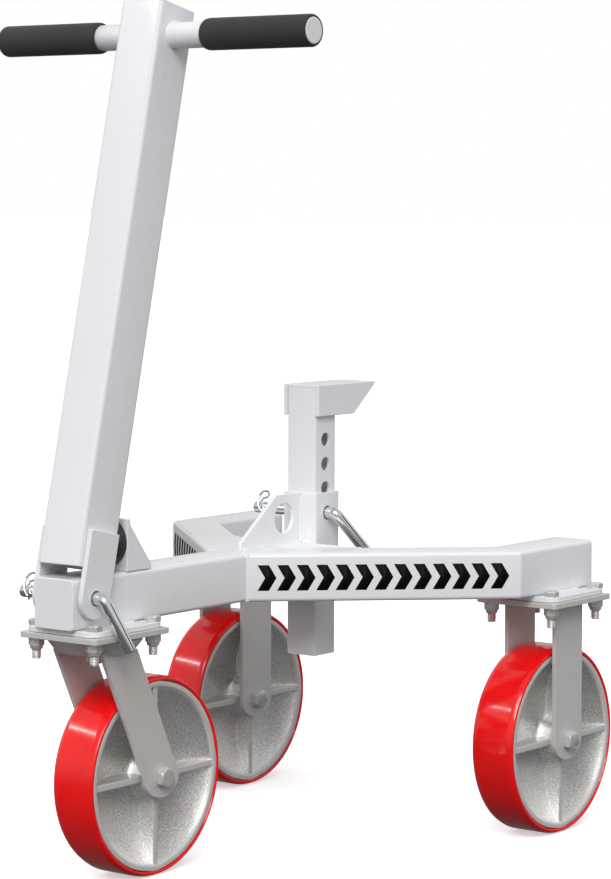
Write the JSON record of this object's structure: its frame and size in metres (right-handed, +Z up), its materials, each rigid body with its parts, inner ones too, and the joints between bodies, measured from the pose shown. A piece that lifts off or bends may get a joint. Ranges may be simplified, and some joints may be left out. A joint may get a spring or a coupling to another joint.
{
  "type": "trailer dolly",
  "caption": "Hand trailer mover: Y-shaped square-tube frame on a swivel and fixed red-tyred casters, pinned height post with forked head, and a leaning handle mast with foam grips.",
  "frame": {"origin": "on the floor under the centre of the bounding box", "axes": "+Z up, +X to the side, -Y towards the handle and the swivel caster"},
  "size_m": [0.5296, 0.6566, 0.8865],
  "materials": {
    "white_coat": "gloss white powder coat",
    "zinc_steel": "dull zinc plate",
    "bearing_steel": "bright ground steel",
    "brass": "plated brass",
    "bright_pin": "bright plated bar",
    "cast_rim": "silver paint on sand-cast iron",
    "red_tyre": "gloss cast polyurethane",
    "foam_grip": "matt foam",
    "black_rubber": "matt"
  },
  "bodies": {
    "frame": {"tongue_tube": "white_coat", "arm_tube_right": "white_coat", "arm_tube_left": "white_coat", "leg_tube_right": "white_coat", "leg_tube_left": "white_coat", "cross_tube": "white_coat", "post_sleeve": "white_coat", "frame_gusset": "white_coat", "caster_pad_front": "white_coat", "caster_pad_right": "white_coat", "caster_pad_left": "white_coat", "bumper_bracket": "white_coat", "post_tube": "white_coat", "post_cap": "white_coat", "head_cheek_right": "white_coat", "head_cheek_left": "white_coat", "rigid_bracket_right": "zinc_steel", "rigid_bracket_left": "zinc_steel", "axle_right": "zinc_steel", "axle_left": "zinc_steel", "swivel_plate": "zinc_steel", "kingpin": "zinc_steel", "bumper_screw": "zinc_steel", "bumper_pad": "black_rubber", "plate_bolt_front_1": "zinc_steel", "plate_bolt_front_2": "zinc_steel", "plate_bolt_front_3": "zinc_steel", "plate_bolt_front_4": "zinc_steel", "plate_bolt_right_1": "zinc_steel", "plate_bolt_right_2": "zinc_steel", "plate_bolt_right_3": "zinc_steel", "plate_bolt_right_4": "zinc_steel", "plate_bolt_left_1": "zinc_steel", "plate_bolt_left_2": "zinc_steel", "plate_bolt_left_3": "zinc_steel", "plate_bolt_left_4": "zinc_steel"},
    "swivel": {"swivel_fork": "zinc_steel", "swivel_ball_race": "bearing_steel", "grease_nipple": "brass", "axle_front": "zinc_steel"},
    "front_wheel": {"wheel_front": "cast_rim", "tyre_front": "red_tyre", "wheel_bearing_front": "bearing_steel"},
    "right_wheel": {"wheel_right": "cast_rim", "tyre_right": "red_tyre", "wheel_bearing_right": "bearing_steel"},
    "left_wheel": {"wheel_left": "cast_rim", "tyre_left": "red_tyre", "wheel_bearing_left": "bearing_steel"},
    "handle": {"mast_tube": "white_coat", "hinge_ear_right": "white_coat", "hinge_ear_left": "white_coat", "handle_bar": "white_coat", "grip_right": "foam_grip", "grip_left": "foam_grip"},
    "hinge_pin": {"hinge_pin": "bright_pin"},
    "hinge_clip": {"hinge_pin_clip": "bright_pin"},
    "post_pin": {"post_pin": "bright_pin"},
    "post_clip": {"post_pin_clip": "bright_pin"}
  },
  "joints": [
    {"name": "handle_fold", "type": "hinge", "parent": "frame", "child": "handle", "pos_m": [0, -0.3023, 0.2935], "axis": [1, 0, 0], "range_deg": [0, 33]},
    {"name": "caster_swivel", "type": "hinge", "parent": "frame", "child": "swivel", "pos_m": [0, -0.2663, 0.24], "axis": [0, 0, 1], "continuous": true},
    {"name": "front_wheel_spin", "type": "hinge", "parent": "swivel", "child": "front_wheel", "pos_m": [0, -0.2003, 0.1016], "axis": [1, 0, 0], "continuous": true},
    {"name": "right_wheel_spin", "type": "hinge", "parent": "frame", "child": "right_wheel", "pos_m": [0.214, 0.2267, 0.1016], "axis": [1, 0, 0], "continuous": true},
    {"name": "left_wheel_spin", "type": "hinge", "parent": "frame", "child": "left_wheel", "pos_m": [-0.214, 0.2267, 0.1016], "axis": [1, 0, 0], "continuous": true},
    {"name": "hinge_pin_pull", "type": "slide", "parent": "frame", "child": "hinge_pin", "axis": [1, 0, 0], "range_m": [0, 0.0155]},
    {"name": "hinge_clip_pull", "type": "slide", "parent": "hinge_pin", "child": "hinge_clip", "axis": [0, 0, 1], "range_m": [0, 0.04]},
    {"name": "post_pin_pull", "type": "slide", "parent": "frame", "child": "post_pin", "axis": [1, 0, 0], "range_m": [0, 0.039]},
    {"name": "post_clip_pull", "type": "slide", "parent": "post_pin", "child": "post_clip", "axis": [0, 0, 1], "range_m": [0, 0.04]}
  ]
}
